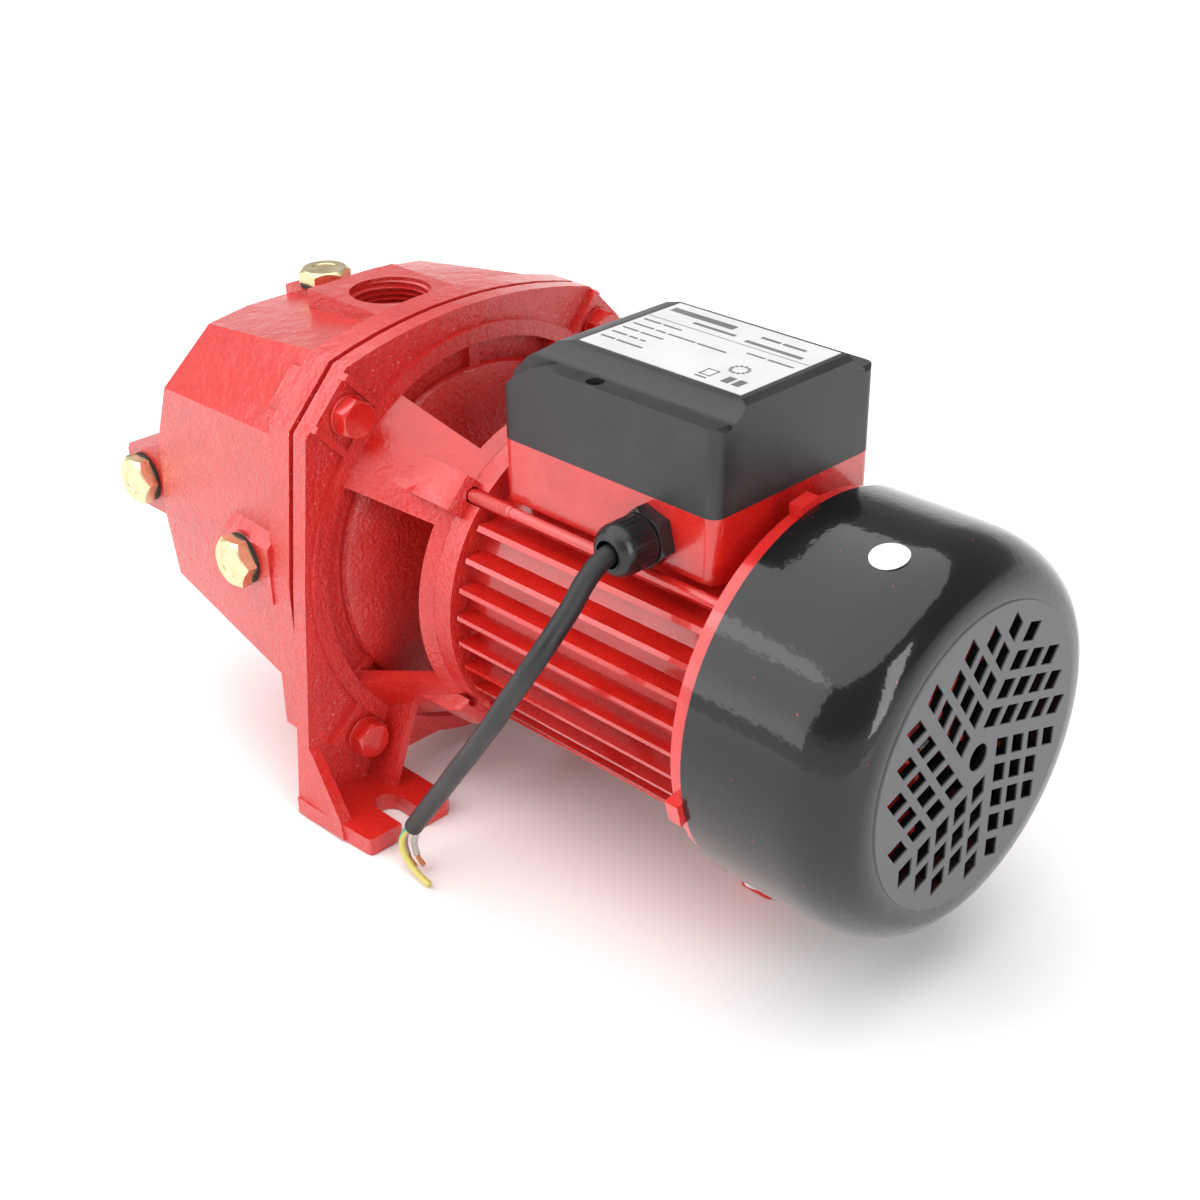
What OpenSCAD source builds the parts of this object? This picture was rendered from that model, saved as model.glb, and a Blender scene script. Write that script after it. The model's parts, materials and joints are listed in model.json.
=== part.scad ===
// Self-priming centrifugal water pump with a finned single-phase motor.
// +X runs along the shaft from the pump end to the fan end, +Z is up and the cable gland faces -Y.
// The origin is on the ground, under the middle of the pump's length.

/* [Motor] */
// height of the shaft axis above the ground
shaft_h = 95; // [93:0.5:98]
// radius over the tips of the cooling fins
fin_r = 62; // [61:0.5:63]
// height from one cooling fin to the next
fin_pitch = 10.93; // [10:0.1:11.5]
// outside radius of the fan cover
cover_r = 73; // [72.5:0.25:75]
// distance from one vent row to the next, along a row
vent_pitch = 10.25; // [10:0.05:10.4]
// length of the terminal box
box_len = 102.3; // [100:0.5:104]
// width of the terminal box
box_w = 82; // [80:0.5:84]
// radius of the round power cable
cable_r = 3.6; // [3.2:0.1:3.9]

/* [Pump] */
// major radius of the outlet port's thread
outlet_r = 16.62; // [16:0.02:17]
// major radius of the suction port's thread
suction_r = 20.95; // [20:0.05:21.5]
// distance across the flats of the plugs' hexagons
plug_af = 19; // [18:0.5:20]
// radius of the impeller
impeller_r = 56; // [52:0.5:58]
// number of impeller blades
blades = 6; // [5:1:7]

/* [Hidden] */
$fn = 64;
eps = 0.01;

// stations along the shaft, measured from the motor's rear bearing seat
suction_x = -294;
body_back_x = -180;
gasket_x0 = -167.7;
gasket_x1 = -165;
flange_x = -157.5;
rim_x = -155;
ring_x0 = -119.9;
ring_x1 = -105.2;
shield_x1 = 19.9;
cover_x1 = 84.8;
x_mid = (suction_x + cover_x1) / 2;

// the outlet port
outlet_x = -209;
outlet_z = 90.65;

// the gland and its cable
gland_x = -23.1;
gland_z = 59.2;

// bolts that clamp the casing to the bracket, as y and z
bolt_top = [65, 71];
bolt_low = [70.8, -66.6];
bolt_yz = [bolt_top, [-bolt_top[0], bolt_top[1]], bolt_low, [-bolt_low[0], bolt_low[1]]];

// tie rods through the motor, as y and z
rod_yz = [[-44.4, 46], [44.4, 46], [-24, -61.2], [24, -61.2]];
rod_low_hole = [49.3, -40.6];

red = [0.72, 0.06, 0.05];
black = [0.09, 0.09, 0.1];
brass = [0.8, 0.62, 0.3];
steel = [0.7, 0.7, 0.72];
copper = [0.72, 0.36, 0.2];
plastic = [0.85, 0.84, 0.8];

// ---------- helpers ----------

// puts a piece drawn about the shaft axis into the pump's own frame
module place() {
    translate([-x_mid, 0, shaft_h]) children();
}

// turns the local Z axis onto the shaft axis at station x
module along_x(x) {
    translate([x, 0, 0]) rotate([90, 0, 90]) children();
}

// a plain round bar along the shaft, at y and z
module rod(x0, x1, r, y = 0, z = 0) {
    translate([0, y, z]) along_x(x0) cylinder(r = r, h = x1 - x0);
}

// a round bar or tube along the shaft
module ring(x0, x1, ro, ri) {
    difference() {
        rod(x0, x1, ro);
        rod(x0 - 1, x1 + 1, ri);
    }
}

// a flat plate with a y-z outline
module plate_yz(x0, x1, pts) {
    along_x(x0) linear_extrude(x1 - x0) polygon(pts);
}

// a prism with an x-z outline, centred on y
module prism_xz(pts, w, y = 0) {
    translate([0, y, 0]) rotate([90, 0, 0]) linear_extrude(w, center = true) polygon(pts);
}

// a body of revolution about the shaft from radius and station pairs
module turned(pts) {
    along_x(0) rotate_extrude($fn = 96) polygon(pts);
}

// a box between two corners
module span(a, b) {
    translate(a) cube([b[0] - a[0], b[1] - a[1], b[2] - a[2]]);
}

function mirror_pts(p) = concat(p, [for (i = [len(p) - 1 : -1 : 0]) if (p[i][0] != 0) [-p[i][0], p[i][1]]]);

// arched top edge of both flanges, as a height for each y
arch_r = 227;
function arch(y, i) = 97.3 - i - arch_r + sqrt(arch_r * arch_r - y * y);

// right half of the upper part of a flange, set in by i
function flange_top(i) = concat(
    [[90.8 - i, 4.5], [83.4 - i, 66.6 - 0.4 * i], [62.6 - 0.4 * i, 88.5 - i]],
    [for (k = [5 : -1 : 0]) [10.4 * k, arch(10.4 * k, i)]]);

// right half of a flange whose lower corners are cut off like its upper ones
function octagon_half(i) = concat(
    [[0, -88 + i], [64 - 0.4 * i, -86.5 + i], [90.8 - i, -62 + 0.4 * i]], flange_top(i));

// a smooth run of points through hand-set ones
function spline(a, b, c, d, t) =
    0.5 * (2 * b + (c - a) * t + (2 * a - 5 * b + 4 * c - d) * t * t + (3 * b - a - 3 * c + d) * t * t * t);
function run_of(p, n) = concat(
    [for (i = [0 : len(p) - 2]) for (k = [0 : n - 1])
        spline(p[max(i - 1, 0)], p[i], p[i + 1], p[min(i + 2, len(p) - 1)], k / n)],
    [p[len(p) - 1]]);
function unit(v) = v / norm(v);
function heading(p, i) = unit(p[min(i + 1, len(p) - 1)] - p[max(i - 1, 0)]);

// a round tube swept along a run of points, in one closed surface
module sweep(p, r, sides, ref) {
    m = len(p);
    rings = [for (i = [0 : m - 1])
        let (t = heading(p, i), u = unit(cross(t, ref)), v = cross(t, u))
        for (k = [0 : sides - 1]) p[i] + r * (cos(360 * k / sides) * u + sin(360 * k / sides) * v)];
    walls = [for (i = [0 : m - 2]) for (k = [0 : sides - 1])
        [i * sides + k, i * sides + (k + 1) % sides,
            (i + 1) * sides + (k + 1) % sides, (i + 1) * sides + k]];
    start = [for (k = [sides - 1 : -1 : 0]) k];
    end = [for (k = [0 : sides - 1]) (m - 1) * sides + k];
    polyhedron(points = rings, faces = concat(walls, [start, end]), convexity = 8);
}

// ---------- pump end ----------

// corners of the casing body at five stations, set in by w for the cavity
function body_back(w) = [[84 - w, 62.3 - 0.4 * w], [59 - 0.4 * w, 88.2 - w],
    [89.5 - w, -41 + 0.4 * w], [52 - 0.4 * w, -76 + w]];
function body_low(w) = [[85.3 - w, -24 + 0.4 * w], [48 - 0.4 * w, -54 + w]];
function body_top(w) = [[80.2 - w, 58.2 - 0.4 * w], [55.8 - 0.4 * w, 79 - w]];
function body_brow(w) = [[34, 80.2 - w]];
function body_nose(w) = [[83.5 - w, 0.6], [82.3 - w, 33.5]];

module corner_beads(x, half) {
    for (p = half) for (s = [-1, 1]) translate([x, s * p[0], p[1]]) cube(0.02, center = true);
}

module casing_hull(w) {
    hull() {
        corner_beads(body_back_x, body_back(w));
        corner_beads(-257 + w, body_low(w));
        corner_beads(-258 + w, body_top(w));
        corner_beads(-262 + w, body_brow(w));
        corner_beads(-265 + w, body_nose(w));
    }
}

// centres of the three plugs: station, y and z of the seat
plug_top = [-253, 0, 83.5];
plug_side = [-196, -91.5, 7.5];
plug_front = [-279.2, -82, 13];
plug_thread_r = 8.3;
port_axis_z = 13;

module pump_casing() color(red) difference() {
    union() {
        difference() {
            union() {
                casing_hull(0);
                plate_yz(body_back_x, gasket_x0, mirror_pts(octagon_half(0)));
            }
            casing_hull(7);
            rod(body_back_x - 1, gasket_x0 + 1, 72);
        }
        // port pad and the boss under it
        span([-235.2, -22, 78], [body_back_x + 2, 22, outlet_z]);
        translate([outlet_x, 0, 66]) cylinder(r = 23, h = 20);
        // suction boss with its cross boss for the front plug
        rod(suction_x, -258, 31, 0, port_axis_z);
        rod(-258, -246, 26, 0, port_axis_z);
        prism_xz([[-291.5, 3.5], [-290, 0.5], [-287, -1], [-260, -1], [-260, 26.5], [-287, 26.5], [-290, 25],
            [-291.5, 22]], 72, plug_front[1] + 36);
        // seats of the side plug and the priming plug
        plate_yz(-208.5, body_back_x + 1,
            [[-91.5, -7], [-91.5, 16.5], [-88, 19.5], [-84, 22], [-84, -12], [-88, -10.5]]);
        translate([plug_side[0], plug_side[1] + 1, plug_side[2]]) rotate([-90, 0, 0]) cylinder(r = 11, h = 12);
        span([-264.5, -12.5, 68], [-234, 12.5, plug_top[2]]);
        // bosses that take the clamp bolts
        for (b = bolt_yz) intersection() {
            rod(body_back_x - 8, gasket_x0, 12, b[0], b[1]);
            plate_yz(body_back_x - 9, gasket_x0, mirror_pts(octagon_half(2)));
        }
    }
    // outlet
    translate([outlet_x, 0, 72]) cylinder(r = outlet_r, h = 30);
    translate([outlet_x, 0, 60]) cylinder(r = outlet_r - 3, h = 20);
    // suction
    rod(suction_x - 1, -276, suction_r, 0, port_axis_z);
    rod(-280, -230, 15, 0, port_axis_z);
    // plug bores
    translate([plug_top[0], 0, 60]) cylinder(r = plug_thread_r, h = 40);
    translate([plug_side[0], -100, plug_side[2]]) rotate([-90, 0, 0]) cylinder(r = plug_thread_r, h = 40);
    translate([plug_front[0], -100, plug_front[2]]) rotate([-90, 0, 0]) cylinder(r = plug_thread_r, h = 32);
    translate([plug_front[0], -70, plug_front[2]]) rotate([-90, 0, 0]) cylinder(r = 5, h = 52);
    // blind bolt holes
    for (b = bolt_yz) rod(body_back_x - 3, gasket_x0 + 1, 4, b[0], b[1]);
}

module casing_gasket() color([0.25, 0.08, 0.07]) difference() {
    plate_yz(gasket_x0, gasket_x1, mirror_pts(octagon_half(4)));
    rod(gasket_x0 - 1, gasket_x1 + 1, 73);
    for (b = bolt_yz) rod(gasket_x0 - 1, gasket_x1 + 1, 4.6, b[0], b[1]);
}

// a hexagon plug pointing along local +Z, with a chamfered head and a shallow round dimple
module plug_piece(len) color(brass) difference() {
    union() {
        translate([0, 0, len + 1.4]) intersection() {
            cylinder(r = plug_af / 2 / cos(30), h = 5.6, $fn = 6);
            cylinder(r1 = plug_af / 2 + 5.9, r2 = plug_af / 2 - 0.5, h = 5.6, $fn = 96);
        }
        cylinder(r = plug_thread_r - 0.3, h = len + 2);
    }
    translate([0, 0, len + 6.7]) cylinder(r1 = 5.2, r2 = 5.7, h = 0.5);
}

module plug_ring() color(black) difference() {
    cylinder(r = plug_af / 2 + 1, h = 1.4);
    translate([0, 0, -1]) cylinder(r = plug_thread_r - 0.3, h = 4);
}

module at_top_plug() {
    translate(plug_top) children();
}

module at_side_plug() {
    translate(plug_side) rotate([90, 0, 0]) children();
}

module at_front_plug() {
    translate(plug_front) rotate([90, 0, 0]) children();
}

plug_len = 11;
module priming_plug() at_top_plug() translate([0, 0, -plug_len]) plug_piece(plug_len);
module priming_plug_seal() at_top_plug() plug_ring();
module side_plug() at_side_plug() translate([0, 0, -plug_len]) plug_piece(plug_len);
module side_plug_seal() at_side_plug() plug_ring();
module front_plug() at_front_plug() translate([0, 0, -plug_len]) plug_piece(plug_len);
module front_plug_seal() at_front_plug() plug_ring();

// ---------- bracket ----------

drum = [[10, -152], [13, -152], [13, -161], [20, -161], [30, -158], [66, -164.9], [66, -165], [84, -165],
    [84, -161], [72, -161], [72, -159], [71, -157.4], [68.5, -156.3], [60, -155], [30, -149], [20, -147.5],
    [20, -138], [10, -138]];

// one foot with its open slot, on the side s = -1 or 1
module foot(s) {
    ground = -shaft_h;
    difference() {
        union() {
            translate([0, 0, 0]) plate_foot(s, ground);
            // outer gusset, flush with the flange's sloping side
            intersection() {
                prism_xz([[-160, -62.5], [flange_x, -62.5], [-155.6, -63.9], [-137.4, -86.9],
                    [-135.5, -94], [-160, -94]], 20, s * 94);
                plate_yz(-161, -130,
                    [[s * 91.2, -40], [s * 94.7, -40], [s * 99.6, ground], [s * 94.1, ground]]);
            }
            // inner web, leaning from the foot to the underside of the arm
            plate_yz(-158, -142, [[s * 71, -90], [s * 67, -90], [s * 51, -50.5], [s * 55, -51]]);
        }
        translate([-136, s * 76, ground - 1]) cylinder(r = 5.8, h = 12);
        span([-136, s * 76 - 5.8, ground - 1], [-110, s * 76 + 5.8, ground + 11]);
    }
}

module plate_foot(s, ground) {
    translate([0, 0, ground]) linear_extrude(7.5)
        polygon([[-165, s * 99.6], [-157.2, s * 99.6], [-123, s * 97.7], [-121.3, s * 97.2], [-120.7, s * 95.8],
            [-120.7, s * 58.5], [-123, s * 55.5], [-165, s * 55.5]]);
}

// slanted arm wall between the flange and the motor ring, before the windows are cut
module arm_cone() turned([[79.5, -161.2], [85, -161.2], [63.6, -114.4], [58, -114.4]]);

// the open window between two arms, from angle a to b
module window(a, b) {
    far = 130;
    plate_yz(-161, ring_x0 - 0.1, concat([[0, 0]], [for (k = [0 : 4]) let (t = a + (b - a) * k / 4)
        [far * cos(t), far * sin(t)]]));
}

// a lug on the motor ring that takes a tie rod at radius r and angle t
module rod_lug(r, t, w) {
    rotate([t, 0, 0]) rotate([90, 0, 0]) linear_extrude(w, center = true)
        polygon([[-111, 57], [-111, r + 2.6], [-112.5, r + 6], [-117, r + 7.8],
            [-134.5, r + 8.5], [-134.5, 64], [-117, 57]]);
}

bearing_r = 17.5;

module motor_bracket() color(red) difference() {
    union() {
        difference() {
            plate_yz(gasket_x1, flange_x, mirror_pts(concat([[0, -84], [54, -84], [58, -shaft_h],
                [99.6, -shaft_h], [94.7, -40]], flange_top(0))));
            rod(-161, flange_x + 1, 82);
            rod(gasket_x1 - 1, -160, 70);
        }
        ring(flange_x, rim_x, 88.4, 82);
        turned(drum);
        for (t = [90, 210, 330]) rotate([t - 90, 0, 0]) span([-165, -2.5, 70], [-158.5, 2.5, 84]);
        difference() {
            arm_cone();
            window(61, 119);
            window(148, 209.5);
            window(234, 306);
            window(330.5, 392);
        }
        ring(ring_x0, ring_x1, 63.5, 56);
        ring(-119.9, -114, 60, 16);
        ring(-126, -109.5, 25, 16);
        for (s = [-1, 1]) {
            foot(s);
            // lugs for the tie rods, the upper pair on the arms
            rod_lug(norm(rod_yz[0]), 90 + s * 44, 15);
        }
        // lower lugs: the outer pair has empty holes, the inner pair takes rods
        for (s = [-1, 1]) {
            rod_low_lug(s * rod_low_hole[0], rod_low_hole[1], 17);
            rod_low_lug(rod_yz[2][0] * s, rod_yz[2][1], 12);
        }
        bolt_seats();
    }
    // spot faces for the washers
    for (b = bolt_yz) rod(flange_x + seat_h, flange_x + 5, 8.5, b[0], b[1]);
    // seal and shaft bores, bearing pocket
    rod(-162, -152, 13);
    rod(-153, -137, 10);
    rod(-122, -108, bearing_r);
    rod(-130, -120, 11);
    for (b = bolt_yz) rod(gasket_x1 - 1, flange_x + 5, 4.6, b[0], b[1]);
    for (p = rod_yz) rod(-125, -100, 3.2, p[0], p[1]);
    for (s = [-1, 1]) rod(-118, -100, 2.6, s * rod_low_hole[0], rod_low_hole[1]);
}

module rod_low_lug(y, z, w) {
    t = atan2(z, y);
    r = norm([y, z]);
    rotate([t, 0, 0]) rotate([90, 0, 0]) linear_extrude(w, center = true)
        polygon([[-105.4, 57], [-105.4, r + 4.5], [-108, r + 7.5], [-120.5, r + 8.2],
            [-127, 68], [-127, 60], [-117, 57]]);
}

// a flat bar standing h above the flange, laid along the radius through a bolt on the -Y side
module seat_bar(b, s0, s1, a, c, h) {
    rotate([atan2(b[1], -b[0]), 0, 0]) span([flange_x - 1, s0, a], [flange_x + h, s1, c]);
}

// raised seats of the clamp bolts and the ribs beside them
seat_h = 1.2;
module bolt_seats() intersection() {
    for (s = [0, 1]) mirror([0, s, 0]) {
        seat_bar(bolt_top, 87, 107, -11, 11.5, seat_h);
        seat_bar(bolt_top, 87, 113, -11.7, -8.9, 3);
        seat_bar(bolt_top, 87, 113, 10.6, 13.4, 3);
        seat_bar(bolt_low, 87, 107, -12.6, 10, seat_h);
        seat_bar(bolt_low, 87, 107, -13.9, -11.2, 3);
    }
    plate_yz(flange_x - 2, flange_x + 4, mirror_pts(concat([[0, -84], [54, -84], [58, -shaft_h],
        [99.6, -shaft_h], [94.7, -40]], flange_top(0))));
}

// ---------- clamp bolts ----------

module casing_bolts() color(red) for (b = bolt_yz) translate([flange_x + seat_h, b[0], b[1]]) along_x(1.8) {
    intersection() {
        rotate(b[1] > 0 ? 90 : 94) cylinder(r = 7 / cos(30), h = 6.3, $fn = 6);
        cylinder(r1 = 13, r2 = 6.7, h = 6.3);
    }
    translate([0, 0, -24]) cylinder(r = 3.7, h = 25);
}

module bolt_washers() color(red) for (b = bolt_yz)
    translate([flange_x + seat_h, b[0], b[1]]) along_x(0) difference() {
        cylinder(r = 8.2, h = 1.8);
        translate([0, 0, -1]) cylinder(r = 4.3, h = 4);
    }

// ---------- hydraulics ----------

module diffuser() color(plastic) {
    difference() {
        union() {
            ring(-199, -165.05, 62, 58);
            ring(-199, -195.5, 62, 13);
            ring(-226, -198, 17, 13);
        }
        // outlets through the wall, between the guide vanes
        for (k = [0 : 5]) rotate([60 * k + 15, 0, 0]) span([-192, -8, 52], [-178, 8, 68]);
    }
}

module ejector_nozzle() color(plastic) difference() {
    union() {
        translate([0, 0, port_axis_z]) turned([[0, -252], [14.7, -252], [14.7, -240], [9, -230], [0, -230]]);
    }
    translate([0, 0, port_axis_z]) turned([[0, -253], [12, -253], [12, -243], [5, -229], [0, -229]]);
}

// curved blades between the two discs
module impeller() color(brass) difference() {
    impeller_body();
    span([-195, -1.55, 4], [-176, 1.55, 8.7]);
}

module impeller_body() {
    ring(-194, -191.8, impeller_r, 14);
    ring(-195.3, -191.8, 17, 12.5);
    ring(-181, -178.6, impeller_r, 8);
    ring(-194, -176.5, 11, 7.53);
    along_x(-192) linear_extrude(11.5) for (k = [0 : blades - 1]) rotate(360 / blades * k)
        polygon(concat([for (i = [0 : 8]) blade_point(i, 0)], [for (i = [8 : -1 : 0]) blade_point(i, 150)]));
}

// a point of a blade's curve, moved round by a thickness of t degrees at radius 1
function blade_point(i, t) = let (r = 16 + (impeller_r - 18) * i / 8, a = 9.5 * i + t / r) r * [cos(a), sin(a)];

module impeller_nut() color(steel) difference() {
    union() {
        along_x(-202) cylinder(r = 8.5 / cos(30), h = 6.6, $fn = 6);
        rod(-195.5, -194.1, 9.5);
    }
    rod(-203, -193, 5.05);
}

module impeller_key() color(steel) span([-193.5, -1.5, 5.6], [-178, 1.5, 8.6]);

module seal_seat() color([0.8, 0.8, 0.76]) ring(-160.9, -152.1, 12.95, 9);

module seal_rotating() color(black) {
    ring(-164.5, -161, 12, 8.03);
    ring(-176.4, -173.5, 12, 8.03);
    ring(-173.5, -164.5, 8.9, 8.03);
}

module seal_spring() color(steel) {
    turns = 3;
    n = 15 * turns;
    sweep([for (i = [0 : n]) let (a = 360 * turns * i / n)
        [-172.7 + 7.4 * i / n, 11 * cos(a), 11 * sin(a)]], 0.7, 6, [1, 0, 0]);
}

module slinger() color(black) difference() {
    turned([[7.6, -134], [12, -134], [17, -131.5], [17, -130.5], [12, -130], [7.6, -130]]);
    rod(-140, -128, 7.5);
}

// ---------- rotating parts ----------

module shaft() color(steel) difference() {
    union() {
        rod(-205, -193.5, 5);
        rod(-194, -176.5, 7.5);
        rod(-176.5, -152, 8);
        rod(-152, -122, 7.5);
        rod(-122, -111, 7.5);
        rod(-111, 2, 9.5);
        rod(2, 13, 7.5);
        rod(13, 66, 6.5);
    }
    span([-193.5, -1.5, 5.6], [-178, 1.5, 9]);
}

module rotor_core() color([0.55, 0.55, 0.58]) {
    difference() {
        union() {
            rod(-84, -24, 29.6);
            ring(-90, -84, 29, 20);
            ring(-24, -18, 29, 20);
        }
        rod(-91, -17, 9.53);
    }
}

module stator_core() color([0.5, 0.5, 0.53]) difference() {
    rod(-84, -24, 50);
    rod(-85, -23, 30);
    for (k = [0 : 23]) rotate([15 * k + 7.5, 0, 0]) span([-85, -1.3, 29], [-23, 1.3, 32.5]);
    for (k = [0 : 23]) rotate([15 * k + 7.5, 0, 0]) span([-85, -2.2, 32], [-23, 2.2, 41]);
}

module stator_winding() color(copper) {
    turned([[33, -98], [46, -98], [48, -95], [48, -84.1], [33, -84.1]]);
    turned([[33, -23.9], [48, -23.9], [48, -13], [46, -10], [33, -10]]);
    for (k = [0 : 23]) rotate([15 * k + 7.5, 0, 0]) span([-84.2, -1.9, 33.5], [-23.8, 1.9, 40.5]);
}

ball_r = 2.9;
ball_pitch = 12.5;

module race_groove(x) along_x(x) rotate_extrude($fn = 64)
    translate([ball_pitch, 0]) circle(r = ball_r + 0.1, $fn = 24);

module bearing_outer(x) color(steel) difference() {
    ring(x, x + 11, bearing_r, 14);
    race_groove(x + 5.5);
}

module bearing_inner(x) color(steel) difference() {
    ring(x, x + 11, 11, 7.52);
    race_groove(x + 5.5);
}

module bearing_balls(x) color(steel) for (k = [0 : 6]) rotate([360 / 7 * k, 0, 0])
    translate([x + 5.5, 0, ball_pitch]) sphere(r = ball_r, $fn = 20);

module front_bearing_outer() bearing_outer(-122);
module front_bearing_inner() bearing_inner(-122);
module front_bearing_balls() bearing_balls(-122);
module rear_bearing_outer() bearing_outer(2);
module rear_bearing_inner() bearing_inner(2);
module rear_bearing_balls() bearing_balls(2);

module wave_spring() color(steel) ring(13, 14.2, 17, 14.2);

// ---------- motor ----------

house_r = 54;
box_x0 = -97.6;
box_z0 = 48.6;
lid_z = 72.6;
// offset of the lid screws from the middle
screw_y = 36.9;

module motor_housing() color(red) difference() {
    union() {
        rod(-105.2, 13.7, house_r);
        rod(-112, -105, 55.9);
        // side fins lie flat, lower fins hang down
        intersection() {
            rod(-103, 13.7, fin_r);
            union() {
                for (k = [0 : 7]) for (s = [-1, 1]) let (z = 37.1 - fin_pitch * k)
                    span([-103, min(s * 35, s * 70), z - 0.9], [13.7, max(s * 35, s * 70), z + 0.9]);
                for (k = [-3 : 3]) span([-103, 9.4 * k - 0.9, -70], [13.7, 9.4 * k + 0.9, -40]);
            }
        }
        // the terminal box's base
        difference() {
            span([box_x0, -box_w / 2, box_z0], [box_x0 + box_len, box_w / 2, lid_z]);
            for (x = [box_x0, box_x0 + box_len]) for (s = [-1, 1])
                corner_cut(x, s * box_w / 2, x < -50 ? 1 : -1, -s, 5, box_z0 - 1, lid_z + 1);
        }
        span([box_x0 + 8, -20, 40], [box_x0 + box_len, 20, box_z0 + 1]);
    }
    rod(-113, -100, 50.9);
    rod(-101, 14, 50);
    difference() {
        span([box_x0 + 3.5, -box_w / 2 + 3.5, box_z0 + 7.4],
            [box_x0 + box_len - 3.5, box_w / 2 - 3.5, lid_z + 1]);
        for (x = [box_x0 + 44.2]) for (s = [-1, 1]) translate([x, s * screw_y, 40]) cylinder(r = 5, h = 40);
    }
    // screw holes for the lid, wire passage and gland hole
    for (s = [-1, 1]) translate([box_x0 + 44.2, s * screw_y, 58]) cylinder(r = 1.9, h = 20);
    translate([-30, 10, 45]) cylinder(r = 7, h = 30);
    translate([gland_x, -box_w / 2 - 1, gland_z]) rotate([-90, 0, 0]) cylinder(r = 8.3, h = 6);
    span([gland_x - 11, -box_w / 2 + 3.5, 50], [gland_x + 11, -box_w / 2 + 7, 60]);
}

// removes a square corner outside a rounded vertical edge of radius r
module corner_cut(x, y, sx, sy, r, z0, z1) {
    difference() {
        translate([x + sx * r / 2 - sx * 0.5, y + sy * r / 2 - sy * 0.5, (z0 + z1) / 2])
            cube([r + 1, r + 1, z1 - z0], center = true);
        translate([x + sx * r, y + sy * r, z0 - 1]) cylinder(r = r, h = z1 - z0 + 2, $fn = 48);
    }
}

module rear_shield() color([0.5, 0.04, 0.04]) difference() {
    union() {
        ring(13.7, 19.8, 71, 22);
        ring(19.5, 27, 69.5, 66);
        ring(2, 18, 24, 16);
        ring(8.5, 15, 49.9, 46);
        ring(14.2, 19, 40, 10);
        // small cast lugs on the rim
        for (t = [98.4, 194.5, 278, 5]) rotate([t, 0, 0]) span([14, 66, -4.5], [19.6, 75.4, 4.5]);
    }
    rod(1, 14.2, bearing_r);
    rod(10, 21, 9);
    for (p = rod_yz) rod(10, 30, p[0] == 0 ? 3 : 3.1, p[0], p[1]);
    for (p = rod_yz) rod(19.8, 30, 5.2, p[0], p[1]);
}

// long hexagon-headed bolts, screwed into the bracket from the fan side
module tie_rods() color(red) for (p = rod_yz) {
    rod(-124, -89, 2.5, p[0], p[1]);
    rod(-89.5, 21, 2.2, p[0], p[1]);
    translate([0, p[0], p[1]]) along_x(19.9) cylinder(r = 4 / cos(30), h = 3.6, $fn = 6);
}

module rear_foot() color([0.45, 0.04, 0.04]) difference() {
    union() {
        span([-7, -7.5, -shaft_h], [9, 7.5, -55]);
        span([-4, -10.5, -shaft_h], [6, 10.5, -55]);
        for (x = [-4, 6]) for (s = [-1, 1]) translate([x, s * 7.5, -shaft_h]) cylinder(r = 3, h = 40);
    }
    rod(-20, 20, fin_r + 0.05, 0, 0);
}

// ---------- fan and cover ----------

module fan() color([0.55, 0.08, 0.07]) {
    ring(38, 62, 12, 6.53);
    ring(38, 40.5, 40, 11);
    for (k = [0 : 5]) rotate([60 * k, 0, 0]) span([38.5, -1.1, 11], [62, 1.1, 63]);
}

// outer and inner line of the cover as radius and station
cover_out = [[cover_r, shield_x1], [cover_r, 58], [cover_r - 0.4, 64], [cover_r - 1.6, 70], [cover_r - 3.8, 75.5],
    [cover_r - 6.8, 80], [cover_r - 10, 82.8], [60, 84], [54.8, 84.2], [54.6, cover_x1]];
cover_in = [[5, cover_x1], [5, cover_x1 - 2.6], [59, 81.6], [cover_r - 11.3, 80.4], [cover_r - 8.6, 78.2],
    [cover_r - 5.9, 74], [cover_r - 4, 69], [cover_r - 2.9, 63.5], [cover_r - 2.4, 58],
    [cover_r - 2.4, shield_x1]];

// vent counts in the rows of one sector
vent_rows = [5, 4, 3, 1];
vent_first = [13.9, -2.3];
vent_half = 3.58;

module vent_sector() {
    u = [cos(-18), sin(-18)];
    v = [0, -1];
    for (i = [0 : len(vent_rows) - 1]) for (j = [0 : vent_rows[i] - 1])
        translate(vent_first + vent_pitch * (i * u + j * v))
            polygon([vent_half * (u + v), vent_half * (u - v), -vent_half * (u + v), vent_half * (v - u)]);
}

module fan_cover() color(black) difference() {
    turned(concat(cover_out, cover_in));
    along_x(cover_x1 - 5) linear_extrude(8) for (k = [0 : 4]) rotate(72 * k) vent_sector();
    for (t = [238, 320]) rotate([t, 0, 0]) translate([24, 80, 0]) rotate([90, 0, 0]) cylinder(r = 2.3, h = 12);
}

module cover_screws() color(steel) for (t = [238, 320]) rotate([t, 0, 0]) translate([24, 0, 0]) {
    translate([0, cover_r + 0.1, 0]) rotate([-90, 0, 0]) cylinder(r1 = 3.6, r2 = 2.8, h = 2);
    translate([0, cover_r + 0.2, 0]) rotate([90, 0, 0]) cylinder(r = 1.9, h = 3.4);
}

// ---------- terminal box ----------

deck_z = 110.8;
shoulder_z = 104.2;
deck_half = 27;
lid_low = [[box_x0, lid_z], [box_x0 + box_len, lid_z], [box_x0 + box_len, shoulder_z - 1.5],
    [box_x0 + box_len - 1.5, shoulder_z], [-74, shoulder_z], [-82, 102.2], [-90, 97.2], [box_x0, 90.2]];
lid_high = [[box_x0, lid_z + 10], [box_x0 + box_len, lid_z + 10], [box_x0 + box_len, deck_z - 2],
    [box_x0 + box_len - 2, deck_z], [-74, deck_z], [-81, 109], [-90, 102.6], [box_x0, 95]];

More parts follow.
